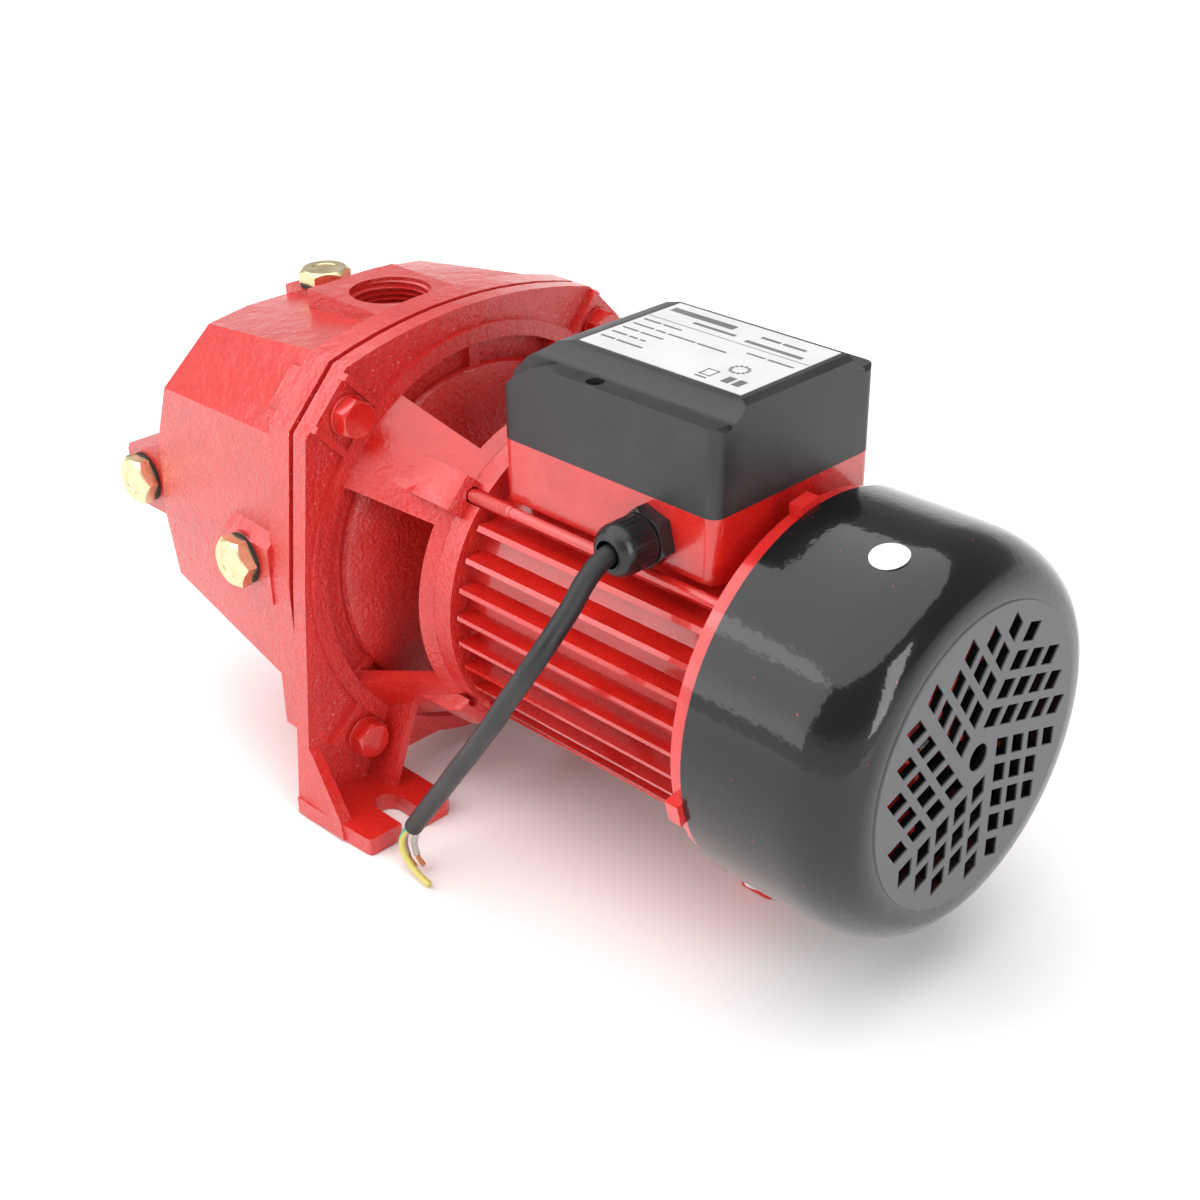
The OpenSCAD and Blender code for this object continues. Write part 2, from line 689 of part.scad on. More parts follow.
module terminal_lid() color(black) difference() {
    union() {
        prism_xz(lid_low, box_w);
        difference() {
            prism_xz(lid_high, 2 * deck_half + 14);
            for (s = [-1, 1]) rod(box_x0 - 1, box_x0 + box_len + 1, 7, s * (deck_half + 7), shoulder_z + 7 - eps);
        }
    }
    for (x = [box_x0, box_x0 + box_len]) for (s = [-1, 1])
        corner_cut(x, s * box_w / 2, x < -50 ? 1 : -1, -s, 5, lid_z - 1, deck_z + 1);
    difference() {
        prism_xz([[box_x0 + 3, lid_z - 1], [box_x0 + box_len - 3, lid_z - 1], [box_x0 + box_len - 3, 101],
            [-75, 101], [-89, 95], [box_x0 + 3, 88]], box_w - 6);
        for (s = [-1, 1]) translate([box_x0 + 44.2, s * screw_y, lid_z]) cylinder(r = 5, h = 40);
    }
    prism_xz([[-74, 100], [box_x0 + box_len - 3, 100], [box_x0 + box_len - 3, deck_z - 3], [-74, deck_z - 3]], 46);
    for (s = [-1, 1]) translate([box_x0 + 44.2, s * screw_y, 0]) {
        translate([0, 0, lid_z - 1]) cylinder(r = 2.3, h = 50);
        translate([0, 0, 94]) cylinder(r = 3.3, h = 30);
    }
}

module lid_gasket() color([0.2, 0.2, 0.2]) difference() {
    intersection() {
        span([box_x0 + 3.6, -box_w / 2 + 3.6, lid_z - 2.5],
            [box_x0 + box_len - 3.6, box_w / 2 - 3.6, lid_z + 2.5]);
        union() {
            difference() {
                span([box_x0, -box_w / 2, lid_z - 4], [box_x0 + box_len, box_w / 2, lid_z + 4]);
                span([box_x0 + 5.2, -box_w / 2 + 5.2, lid_z - 5],
                    [box_x0 + box_len - 5.2, box_w / 2 - 5.2, lid_z + 5]);
            }
            for (s = [-1, 1]) translate([box_x0 + 44.2, s * screw_y, lid_z - 4]) cylinder(r = 7, h = 8);
        }
    }
    for (s = [-1, 1]) translate([box_x0 + 44.2, s * screw_y, 40]) cylinder(r = 5.3, h = 60);
}

module lid_screws() color(steel) for (s = [-1, 1]) translate([box_x0 + 44.2, s * screw_y, 0]) {
    translate([0, 0, 61]) cylinder(r = 1.7, h = 34);
    difference() {
        translate([0, 0, 94.05]) cylinder(r = 3, h = 2.6);
        translate([0, 0, 96.2]) cube([4.6, 0.8, 2], center = true);
        translate([0, 0, 96.2]) cube([0.8, 4.6, 2], center = true);
    }
}

module nameplate() color([0.93, 0.93, 0.92]) span([-72.5, -25.4, deck_z], [0.8, 25.4, deck_z + 0.25]);

module round_sticker() color([0.95, 0.95, 0.94]) intersection() {
    ring(40, 64.5, cover_r + 0.22, cover_r);
    rotate([104.3, 0, 0]) translate([56.8, 60, 0]) rotate([-90, 0, 0]) cylinder(r = 6.6, h = 20);
}

module terminal_block() color(plastic) difference() {
    span([-22, 2, box_z0 + 7.4], [-4, 34, box_z0 + 20]);
    for (k = [0 : 2]) translate([-13, 8 + 10 * k, box_z0 + 12]) cylinder(r = 2.7, h = 20);
    for (k = [0 : 2]) translate([-30, 8 + 10 * k, box_z0 + 11]) rotate([0, 90, 0]) cylinder(r = 1.6, h = 30);
}

module terminal_screws() color(brass) for (k = [0 : 2]) translate([-13, 8 + 10 * k, box_z0 + 13]) difference() {
    cylinder(r = 2.4, h = 6);
    translate([0, 0, 6]) cube([6, 0.8, 1.6], center = true);
}

cap_y = -14;
module capacitor() color([0.9, 0.9, 0.88]) {
    rod(-86, -30, 15.5, cap_y, box_z0 + 26);
    rod(-30, -27, 13, cap_y, box_z0 + 26);
    for (s = [-1, 1]) span([-27.5, cap_y + s * 5 - 2, box_z0 + 25.6], [-21, cap_y + s * 5 + 2, box_z0 + 26.4]);
}

module capacitor_clip() color(steel) difference() {
    union() {
        rod(-80, -68, 17, cap_y, box_z0 + 26);
        span([-80, cap_y - 10, box_z0 + 7.4], [-68, cap_y + 10, box_z0 + 13]);
    }
    rod(-82, -66, 15.8, cap_y, box_z0 + 26);
    span([-82, -40, box_z0 + 30], [-66, 10, box_z0 + 60]);
}

// ---------- gland and cable ----------

gland_y = -41;
gz = gland_z;

module at_gland(y) translate([gland_x, y, gz]) rotate([90, 0, 0]) children();

module gland_body() color(black) difference() {
    union() {
        at_gland(gland_y) rotate([0, 0, 44.4]) intersection() {
            cylinder(r = 9.6 / cos(30), h = 6, $fn = 6);
            cylinder(r1 = 16, r2 = 9.9, h = 6);
        }
        at_gland(gland_y - 5) cylinder(r = 7.6, h = 9);
        at_gland(gland_y + 4.4) cylinder(r = 8, h = 4.6);
    }
    at_gland(gland_y + 10) cylinder(r = 5.4, h = 12.4);
    at_gland(gland_y - 2) cylinder(r = 6.3, h = 14);
}

// round cap with a rounded nose and fine grip grooves
module gland_nut() color(black) difference() {
    union() {
        at_gland(gland_y - 6.4) cylinder(r = 9.4, h = 10);
        at_gland(gland_y - 16.4) rotate_extrude($fn = 64)
            polygon([[0, -0.1], [9.4, -0.1], [9.4, 0], [9.1, 1.4], [8.3, 3], [7, 4.3], [5.6, 5], [0, 5]]);
    }
    at_gland(gland_y - 5) cylinder(r = 7.9, h = 10.6);
    at_gland(gland_y - 10) cylinder(r = 5, h = 20);
    for (k = [0 : 23]) at_gland(gland_y - 6) rotate(15 * k) translate([9.75, 0, 0.9])
        cylinder(r = 0.7, h = 8.6, $fn = 12);
}

module gland_seal() color([0.15, 0.15, 0.15]) at_gland(gland_y - 7) difference() {
    cylinder(r = 6.2, h = 8.5);
    translate([0, 0, -1]) cylinder(r = 2.6, h = 12);
}

seal_face_y = gland_y - 15.5;

cable_route = [
    [-23.1, seal_face_y, gz], [-23.05, -60, gz], [-22.9, -63.5, 58.8], [-22.8, -68.1, 56.9], [-22.4, -74.1, 53],
    [-22.2, -79.7, 47.4], [-22.3, -86.8, 41.2], [-23.2, -92.05, 35.6], [-26.6, -95.3, 28.1], [-30.6, -96, 21.6],
    [-37, -96.1, 12.3], [-44.3, -96, 1.2], [-51.9, -95.6, -9.2], [-59.8, -95, -20], [-68.5, -94.1, -31.3],
    [-77.1, -93, -42.6], [-86.4, -91.9, -54.5], [-94.4, -91, -65], [-102, -90, -75]];
module power_cable() color(black) sweep(run_of(cable_route, 3), cable_r, 12, [1, 0.25, -1]);

wire_r = 1.3;
module earth_wire() color([0.25, 0.55, 0.25]) sweep(run_of([
    [-103, -91.3, -75.2], [-105.5, -92.2, -79], [-106.5, -93, -83.5], [-104, -93.8, -87.5], [-99.5, -94.2, -90.5],
    [-94, -94.4, -92.4], [-89, -94.5, -93.4]], 3), wire_r, 8, [0, 1, 0.2]);
module live_wire() color([0.4, 0.3, 0.25]) sweep(run_of([
    [-103.3, -88.7, -75.8], [-106.8, -89, -79.5], [-109, -89.5, -84], [-107.5, -90.4, -88.5], [-103.5, -91.2, -91.6],
    [-97.5, -91.8, -93.1], [-92.5, -92, -93.5]], 3), wire_r, 8, [0, 1, 0.2]);
module neutral_wire() color([0.2, 0.3, 0.6]) sweep(run_of([
    [-100.8, -89.4, -76.7], [-102.8, -89.2, -81], [-103.4, -89.2, -85.4], [-101.5, -89.4, -89.5], [-97.5, -89.3, -92.2],
    [-92.5, -89, -93.4], [-88, -88.9, -93.5]], 3), wire_r, 8, [0, 1, 0.2]);

// ---------- the nodes ----------

place() pump_casing();
place() casing_gasket();
place() motor_bracket();
place() casing_bolts();
place() bolt_washers();
place() diffuser();
place() ejector_nozzle();
place() impeller();
place() impeller_nut();
place() impeller_key();
place() seal_seat();
place() seal_rotating();
place() seal_spring();
place() slinger();
place() shaft();
place() rotor_core();
place() stator_core();
place() stator_winding();
place() front_bearing_outer();
place() front_bearing_inner();
place() front_bearing_balls();
place() rear_bearing_outer();
place() rear_bearing_inner();
place() rear_bearing_balls();
place() wave_spring();
place() motor_housing();
place() rear_shield();
place() tie_rods();
place() fan();
place() fan_cover();
place() cover_screws();
place() rear_foot();
place() terminal_lid();
place() lid_gasket();
place() lid_screws();
place() nameplate();
place() round_sticker();
place() terminal_block();
place() terminal_screws();
place() capacitor();
place() capacitor_clip();
place() gland_body();
place() gland_nut();
place() gland_seal();
place() power_cable();
place() earth_wire();
place() live_wire();
place() neutral_wire();
place() priming_plug();
place() priming_plug_seal();
place() side_plug();
place() side_plug_seal();
place() front_plug();
place() front_plug_seal();
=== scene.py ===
"""Looks of the centrifugal pump: camera, materials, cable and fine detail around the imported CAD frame."""
import json
import math

import bpy
import bmesh
from mathutils import Matrix, Vector


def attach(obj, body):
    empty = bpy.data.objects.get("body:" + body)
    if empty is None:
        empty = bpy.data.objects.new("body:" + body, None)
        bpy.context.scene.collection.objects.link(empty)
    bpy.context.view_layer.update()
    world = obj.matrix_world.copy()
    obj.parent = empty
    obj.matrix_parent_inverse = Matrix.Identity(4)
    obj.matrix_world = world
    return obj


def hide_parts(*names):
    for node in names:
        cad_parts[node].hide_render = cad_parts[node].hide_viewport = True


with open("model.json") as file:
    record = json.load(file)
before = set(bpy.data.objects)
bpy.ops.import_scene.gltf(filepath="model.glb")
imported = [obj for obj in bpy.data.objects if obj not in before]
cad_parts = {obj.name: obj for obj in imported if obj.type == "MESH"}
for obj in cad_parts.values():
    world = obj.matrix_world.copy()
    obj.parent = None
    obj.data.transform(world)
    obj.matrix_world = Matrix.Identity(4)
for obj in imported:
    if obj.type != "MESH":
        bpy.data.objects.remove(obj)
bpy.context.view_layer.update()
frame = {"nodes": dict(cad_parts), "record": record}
NODES = frame["nodes"]
BODY = "pump"
MM = 0.001
# the row frame is the shaft frame moved by these, in mm
X_MID, SHAFT_H = 104.6, 95.0


def at(x, y, z):
    """A point of the shaft frame (mm) in the row frame (m)."""
    return Vector((x + X_MID, y, z + SHAFT_H)) * MM


# ---------- camera ----------

# where the camera stands in the row frame (m), how it is turned, and its lens and sensor (mm)
CAMERA_AT = Vector((0.44617, -0.42384, 0.41957))
YAW, PITCH, ROLL = math.radians(45.54), math.radians(28.78), math.radians(-0.90)
LENS, SENSOR = 53.05, 36


def make_camera():
    back = Vector((math.sin(YAW) * math.cos(PITCH), -math.cos(YAW) * math.cos(PITCH), math.sin(PITCH)))
    right = Vector((math.cos(YAW), math.sin(YAW), 0))
    up = back.cross(right)
    across = math.cos(ROLL) * right + math.sin(ROLL) * up
    upward = -math.sin(ROLL) * right + math.cos(ROLL) * up
    data = bpy.data.cameras.new("camera")
    data.lens, data.sensor_width = LENS, SENSOR
    data.clip_start, data.clip_end = 0.01, 50
    camera = bpy.data.objects.new("camera", data)
    bpy.context.scene.collection.objects.link(camera)
    turn = Matrix((across, upward, back)).transposed()
    camera.matrix_world = Matrix.Translation(CAMERA_AT) @ turn.to_4x4()
    bpy.context.scene.camera = camera


make_camera()

# ---------- materials ----------


class Paint:
    """A procedural material around one Principled shader. Lengths are given in mm."""

    def __init__(self, name, **sockets):
        self.material = bpy.data.materials.new(name)
        self.material.use_nodes = True
        self.tree = self.material.node_tree
        self.shader = self.tree.nodes["Principled BSDF"]
        self.place = self.tree.nodes.new("ShaderNodeTexCoord").outputs["Object"]
        self.set(**sockets)

    def set(self, **sockets):
        for name, value in sockets.items():
            self.feed(self.shader.inputs[name.replace("_", " ")], value)

    def feed(self, socket, value):
        if isinstance(value, bpy.types.NodeSocket):
            self.tree.links.new(value, socket)
        elif isinstance(value, tuple) and len(value) == 3 and socket.type == "RGBA":
            socket.default_value = (*value, 1)
        else:
            socket.default_value = value

    def add(self, kind, inputs=(), **settings):
        node = self.tree.nodes.new(kind)
        for key, value in settings.items():
            setattr(node, key, value)
        for key, value in dict(inputs).items():
            self.feed(node.inputs[key], value)
        return node

    def stretched(self, scale):
        return self.add("ShaderNodeMapping", {"Vector": self.place, "Scale": scale}).outputs["Vector"]

    def noise(self, size, detail=2.0, rough=0.5, twist=0.0, where=None):
        return self.add("ShaderNodeTexNoise", {
            "Vector": where or self.place, "Scale": 1 / (size * MM), "Detail": detail,
            "Roughness": rough, "Distortion": twist}).outputs["Fac"]

    def cells(self, size):
        return self.add("ShaderNodeTexVoronoi", {
            "Vector": self.place, "Scale": 1 / (size * MM), "Smoothness": 0.6},
            feature="SMOOTH_F1").outputs["Distance"]

    def ramp(self, value, low, high, to_low=0.0, to_high=1.0):
        return self.add("ShaderNodeMapRange", {
            "Value": value, "From Min": low, "From Max": high, "To Min": to_low, "To Max": to_high},
            interpolation_type="SMOOTHSTEP").outputs["Result"]

    def math(self, operation, a, b=0.0, c=0.0):
        node = self.add("ShaderNodeMath", operation=operation)
        for socket, value in zip(node.inputs, (a, b, c)):
            self.feed(socket, value)
        return node.outputs["Value"]

    def blend(self, factor, a, b):
        node = self.add("ShaderNodeMix", data_type="RGBA")
        self.feed(node.inputs["Factor"], factor)
        self.feed(node.inputs[6], a)
        self.feed(node.inputs[7], b)
        return node.outputs[2]

    def axis(self, name):
        return self.add("ShaderNodeSeparateXYZ", {"Vector": self.place}).outputs[name]

    def facing(self, name):
        geometry = self.add("ShaderNodeNewGeometry")
        return self.add("ShaderNodeSeparateXYZ", {"Vector": geometry.outputs["Normal"]}).outputs[name]

    def near(self, axis, place, width, soft=0.3):
        """1 within width (mm) of a plane at place (mm in the row frame) across an axis, else 0."""
        away = self.math("ABSOLUTE", self.math("SUBTRACT", axis, place * MM))
        return self.ramp(away, (width + soft) * MM, width * MM)

    def bump(self, height, deep, strength=1.0, under=None):
        inputs = {"Height": height, "Distance": deep * MM, "Strength": strength}
        if under is not None:
            inputs["Normal"] = under
        return self.add("ShaderNodeBump", inputs).outputs["Normal"]


RED = (0.61, 0.016, 0.011)
RED_DEEP = (0.54, 0.012, 0.009)
PRIMER = (0.74, 0.5, 0.45)
# where the casting's flange edges lie along the pump, and how wide their chips are, in mm
FLANGE_EDGES = (-52.9, -75.4, -63.1, -60.4)
CHIP_WIDTH = 0.22
# the cover's grey vented disc starts here, and its scuffs are below these heights, in m
DISC_START, DISC_FULL = 0.1886, 0.1890
SCUFF_TOP, SCUFF_FULL = 0.075, 0.03


def cast_enamel():
    p = Paint("cast_enamel", Coat_Weight=0.8, Coat_Roughness=0.1, Coat_IOR=1.5)
    lump = p.noise(9, 2)
    grain = p.noise(1.3, 3, 0.62)
    pits = p.cells(2.0)
    worn = p.noise(22, 3)
    # the sand shows most on the upright sides and least on the sloping tops
    upright = p.ramp(p.math("ABSOLUTE", p.facing("Z")), 0.75, 0.3, 0.3, 1.0)
    colour = p.blend(p.math("MULTIPLY", p.ramp(lump, 0.3, 0.7), p.ramp(worn, 0.4, 0.65)), RED, RED_DEEP)
    # paint chipped off here and there along the flange edges
    chip = p.ramp(p.noise(1.7, 3, 0.7), 0.66, 0.69)
    x = p.axis("X")
    edge = 0.0
    for place in FLANGE_EDGES:
        edge = p.math("MAXIMUM", edge, p.near(x, place, CHIP_WIDTH))
    chips = p.math("MULTIPLY", chip, edge)
    p.set(Base_Color=p.blend(chips, colour, PRIMER))
    rough = p.ramp(grain, 0.3, 0.75, 0.26, 0.42)
    p.set(Roughness=p.math("MAXIMUM", rough, p.math("MULTIPLY", chips, 0.6)))
    sand = p.bump(grain, 0.7, upright)
    sand = p.bump(pits, 0.8, p.math("MULTIPLY", upright, 0.45), sand)
    coat = p.bump(p.noise(1.8, 3, 0.6), 0.7, upright, p.bump(lump, 1.6, 0.3))
    p.set(Normal=p.bump(lump, 1.6, 0.3, sand), Coat_Normal=coat)
    return p.material


def gloss_enamel(name="gloss_enamel", light=RED, deep=RED_DEEP):
    p = Paint(name, Coat_Weight=0.9, Coat_Roughness=0.06, Coat_IOR=1.5)
    patch = p.noise(14, 3)
    peel = p.noise(2.2, 2, 0.45)
    p.set(Base_Color=p.blend(p.ramp(patch, 0.3, 0.6), deep, light))
    p.set(Roughness=p.ramp(p.noise(5, 3), 0.3, 0.7, 0.2, 0.34))
    wave = p.bump(patch, 0.5, 0.12)
    p.set(Normal=p.bump(peel, 0.1, 0.35, wave), Coat_Normal=p.bump(peel, 0.1, 0.2, wave))
    return p.material


def cover_enamel():
    p = Paint("cover_enamel", Coat_Roughness=0.07, Coat_IOR=1.5, Specular_IOR_Level=0.12)
    peel = p.noise(2.6, 2, 0.4)
    wave = p.noise(30, 2)
    x, z = p.axis("X"), p.axis("Z")
    smear = p.noise(7, 4, 0.65, 1.5, p.stretched((0.35, 1, 1)))
    scuff = p.math("MULTIPLY", p.ramp(smear, 0.5, 0.72), p.ramp(z, SCUFF_TOP, SCUFF_FULL))
    disc = p.ramp(x, DISC_START, DISC_FULL)
    dust = p.ramp(p.noise(0.9, 2, 0.6), 0.66, 0.75, 0, 0.5)
    base = p.blend(disc, (0.006, 0.006, 0.007), (0.12, 0.12, 0.127))
    base = p.blend(p.math("MULTIPLY", scuff, 0.35), base, (0.16, 0.16, 0.165))
    base = p.blend(p.math("MULTIPLY", dust, disc), base, (0.2, 0.2, 0.21))
    # stray specks of the red enamel
    p.set(Base_Color=p.blend(p.ramp(p.noise(1.9, 1), 0.805, 0.82), base, (0.4, 0.02, 0.015)))
    p.set(Roughness=p.math("MAXIMUM", p.ramp(scuff, 0, 1, 0.22, 0.5), p.math("MULTIPLY", disc, 0.5)))
    p.set(Coat_Weight=p.math("SUBTRACT", 0.8, p.math("MULTIPLY", disc, 0.55)))
    coat = p.bump(wave, 1.5, 0.12, p.bump(peel, 0.2, 0.3))
    p.set(Normal=coat, Coat_Normal=coat)
    return p.material


def moulded(name, colour, pale, rough=(0.36, 0.5), grain=0.7, deep=0.06):
    """Plastic, rubber or film with a pale haze and faint scratches along the pump."""
    p = Paint(name)
    speck = p.noise(grain, 2, 0.6)
    haze = p.noise(20, 4, 0.6)
    scratch = p.noise(1.4, 3, 0.7, 0.6, p.stretched((0.08, 1, 1)))
    mark = p.math("MULTIPLY", p.ramp(scratch, 0.66, 0.72), p.ramp(haze, 0.5, 0.65, 0, 0.5))
    p.set(Base_Color=p.blend(p.math("MAXIMUM", p.ramp(haze, 0.35, 0.75, 0, 0.45), mark), colour, pale))
    p.set(Roughness=p.ramp(haze, 0.3, 0.7, *rough))
    p.set(Normal=p.bump(speck, deep, 0.5))
    return p.material


def metal(name, colour, dark, rough=(0.16, 0.34), lines=None, deep=0.03):
    """Bare metal with darker patches; lines stretches its fine grain."""
    p = Paint(name, Metallic=1.0)
    patch = p.noise(6, 4, 0.6)
    where = p.stretched(lines) if lines else None
    fine = p.noise(0.5, 2, 0.5, 0, where)
    p.set(Base_Color=p.blend(p.ramp(patch, 0.35, 0.7), dark, colour))
    p.set(Roughness=p.ramp(patch, 0.3, 0.72, *rough))
    p.set(Normal=p.bump(fine, deep, 0.5))
    return p.material


def sheets(name, colour, dark):
    """Stacked steel sheets across the shaft."""
    p = Paint(name, Metallic=1.0)
    layers = p.add("ShaderNodeTexWave", {
        "Vector": p.place, "Scale": 100.0, "Distortion": 0.4, "Detail": 2.0},
        wave_type="BANDS", bands_direction="X").outputs["Fac"]
    p.set(Base_Color=p.blend(layers, dark, colour), Roughness=p.ramp(layers, 0, 1, 0.5, 0.35))
    p.set(Normal=p.bump(layers, 0.1, 0.5))
    return p.material


def rubber(name, colour=(0.012, 0.012, 0.013), pale=(0.05, 0.05, 0.052), rough=(0.5, 0.7)):
    return moulded(name, colour, pale, rough, 0.35, 0.05)


def earth_sheath():
    """Green sheath with a yellow stripe that winds round to the outer side lower down."""
    p = Paint("wire_green")
    side = p.math("MULTIPLY_ADD", p.axis("Z"), 60.0, -0.84)
    green = p.ramp(p.math("SUBTRACT", side, p.facing("X")), -0.08, 0.08)
    p.set(Base_Color=p.blend(green, (0.60, 0.52, 0.13), (0.06, 0.36, 0.23)))
    p.set(Roughness=p.ramp(p.noise(4, 2), 0.3, 0.7, 0.32, 0.46))
    p.set(Normal=p.bump(p.noise(0.8, 2), 0.04, 0.4))
    return p.material


MATERIALS = {
    "cast_enamel": cast_enamel(),
    "gloss_enamel": gloss_enamel(),
    # painted light: the rear shield's enamel and the fan's plastic get a brighter red than the housing,
    # standing in for light that hardly reaches them behind the cover's vents
    "shadow_enamel": gloss_enamel("shadow_enamel", (0.72, 0.018, 0.015), (0.6, 0.012, 0.01)),
    "fan_plastic": moulded("fan_plastic", (0.78, 0.03, 0.028), (0.8, 0.07, 0.06), (0.3, 0.45)),
    "cover_enamel": cover_enamel(),
    "lid_plastic": moulded(
        "lid_plastic", (0.018, 0.018, 0.019), (0.05, 0.05, 0.052), (0.33, 0.46), 0.8, 0.08),
    "gland_nylon": moulded("gland_nylon", (0.008, 0.008, 0.009), (0.02, 0.02, 0.021), (0.24, 0.36)),
    "brass": metal("brass", (0.84, 0.72, 0.46), (0.77, 0.63, 0.36), (0.26, 0.36)),
    "cast_brass": metal("cast_brass", (0.72, 0.5, 0.22), (0.5, 0.33, 0.14), (0.3, 0.5), None, 0.12),
    "steel": metal("steel", (0.62, 0.62, 0.64), (0.42, 0.42, 0.44), (0.2, 0.38)),
    "lamination": sheets("lamination", (0.46, 0.46, 0.48), (0.22, 0.22, 0.24)),
    "copper_wire": metal("copper_wire", (0.78, 0.36, 0.16), (0.5, 0.2, 0.08), (0.22, 0.4), (1, 1, 0.1)),
    "moulded_ivory": moulded("moulded_ivory", (0.66, 0.62, 0.53), (0.76, 0.73, 0.66)),
    "capacitor_white": moulded("capacitor_white", (0.78, 0.78, 0.76), (0.86, 0.86, 0.84), (0.25, 0.4)),
    "ceramic": moulded("ceramic", (0.76, 0.74, 0.67), (0.85, 0.83, 0.78), (0.15, 0.25)),
    "rubber": rubber("rubber"),
    "cable_rubber": rubber("cable_rubber", (0.009, 0.009, 0.01), (0.026, 0.026, 0.028), (0.42, 0.58)),
    "wire_green": earth_sheath(),
    "wire_brown": moulded("wire_brown", (0.36, 0.27, 0.23), (0.5, 0.4, 0.36), (0.3, 0.45)),
    "wire_grey": moulded("wire_grey", (0.42, 0.40, 0.34), (0.55, 0.53, 0.47), (0.3, 0.45)),
    "label_film": moulded("label_film", (0.66, 0.66, 0.65), (0.74, 0.74, 0.73), (0.3, 0.42), 2.0, 0.02),
    "sticker_film": moulded("sticker_film", (0.74, 0.74, 0.71), (0.8, 0.8, 0.77), (0.3, 0.4), 2.0, 0.02),
}
INK = moulded("label_ink", (0.13, 0.13, 0.135), (0.24, 0.24, 0.245), (0.4, 0.5))

# ---------- rounded edges of the CAD solids ----------

SHARP = math.radians(28)
JOIN_DISTANCE = 2e-6
FLAT = math.radians(0.2)


def edge_group():
    """Joins split corners and shades faces smooth up to an angle, before a bevel rounds the rest."""
    group = bpy.data.node_groups.new("joined_and_smoothed", "GeometryNodeTree")
    group.interface.new_socket("Geometry", in_out="INPUT", socket_type="NodeSocketGeometry")
    group.interface.new_socket("Geometry", in_out="OUTPUT", socket_type="NodeSocketGeometry")
    add, link = group.nodes.new, group.links.new
    start, end = add("NodeGroupInput"), add("NodeGroupOutput")
    strip = add("GeometryNodeRemoveAttribute")
    strip.inputs["Name"].default_value = "custom_normal"
    join = add("GeometryNodeMergeByDistance")
    join.inputs["Distance"].default_value = JOIN_DISTANCE
    angle = add("GeometryNodeInputMeshEdgeAngle")
    sharp = add("FunctionNodeCompare")
    sharp.operation = "GREATER_THAN"
    sharp.inputs["B"].default_value = SHARP
    faces, edges = add("GeometryNodeSetShadeSmooth"), add("GeometryNodeSetShadeSmooth")
    edges.domain = "EDGE"
    edges.inputs["Shade Smooth"].default_value = False
    link(start.outputs[0], strip.inputs["Geometry"])
    link(strip.outputs[0], join.inputs["Geometry"])
    link(join.outputs[0], faces.inputs["Geometry"])
    link(faces.outputs[0], edges.inputs["Geometry"])
    link(angle.outputs["Unsigned Angle"], sharp.inputs["A"])
    link(sharp.outputs["Result"], edges.inputs["Selection"])
    link(edges.outputs[0], end.inputs[0])
    return group


JOINED = edge_group()


def round_edges(piece, width, flats):
    """Rounds sharp edges by width (mm); flats first joins the triangles of each flat face."""
    join = piece.modifiers.new("join", "NODES")
    join.node_group = JOINED
    if flats:
        flat = piece.modifiers.new("flats", "DECIMATE")
        flat.decimate_type = "DISSOLVE"
        flat.angle_limit = FLAT
    bevel = piece.modifiers.new("round", "BEVEL")
    bevel.width, bevel.segments = width * MM, 2
    bevel.limit_method, bevel.angle_limit = "ANGLE", SHARP
    bevel.harden_normals = True
    bevel.miter_outer = "MITER_ARC"
    bevel.use_clamp_overlap = True


# how much each node's sharp edges are rounded, in mm
EDGES = {
    "pump_casing": 2.0, "motor_bracket": 0.9, "casing_gasket": 0.3, "casing_bolts": 0.4,
    "bolt_washers": 0.3, "motor_housing": 0.4, "rear_shield": 0.5, "rear_foot": 0.5, "tie_rods": 0.2,
    "fan": 0.3, "fan_cover": 0.25, "terminal_lid": 1.0, "gland_body": 0.35, "gland_nut": 0.2,
    "priming_plug": 0.3, "side_plug": 0.3, "front_plug": 0.3, "cover_screws": 0.15,
    "lid_screws": 0.15, "impeller": 0.3, "shaft": 0.25,
}
# their chamfers are cut by a cone, so their faces are kept as they come
ROUNDED_HEADS = ("priming_plug", "side_plug", "front_plug", "casing_bolts", "gland_body", "gland_nut")

for material in frame["record"]["materials"]:
    assert material["slot"] in MATERIALS, material["slot"]
for name, piece in NODES.items():
    for slot in piece.material_slots:
        if slot.material:
            slot.material = MATERIALS[slot.material.name.split(".")[0]]
for name, width in EDGES.items():
    round_edges(NODES[name], width, flats=name not in ROUNDED_HEADS)

# ---------- new pieces ----------


def new_piece(name, vertices, faces, slot, smooth=True, material=None):
    """A mesh piece that rides on the pump."""
    data = bpy.data.meshes.new(name)
    data.from_pydata([tuple(v) for v in vertices], [], faces)
    data.validate()
    shape = bmesh.new()
    shape.from_mesh(data)
    bmesh.ops.recalc_face_normals(shape, faces=shape.faces)
    shape.to_mesh(data)
    shape.free()
    for face in data.polygons:
        face.use_smooth = smooth
    data.materials.append(material or MATERIALS[slot])
    piece = bpy.data.objects.new(name, data)
    bpy.context.scene.collection.objects.link(piece)
    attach(piece, BODY)
    return piece


def spline(a, b, c, d, t):
    """The point at t (0 to 1) between b and c of a curve through all four points."""
    square = (2 * a - 5 * b + 4 * c - d) * t * t
    cube = (3 * b - a - 3 * c + d) * t ** 3
    return 0.5 * (2 * b + (c - a) * t + square + cube)


def run_of(points, n):
    """A smooth run through route points (mm, shaft frame), with n steps between two of them."""
    points = [at(*p) for p in points]
    last = len(points) - 1
    run = [spline(points[max(i - 1, 0)], points[i], points[i + 1], points[min(i + 2, last)], k / n)
           for i in range(last) for k in range(n)]
    return run + [points[last]]


def length_of(run):
    return sum((b - a).length for a, b in zip(run, run[1:]))


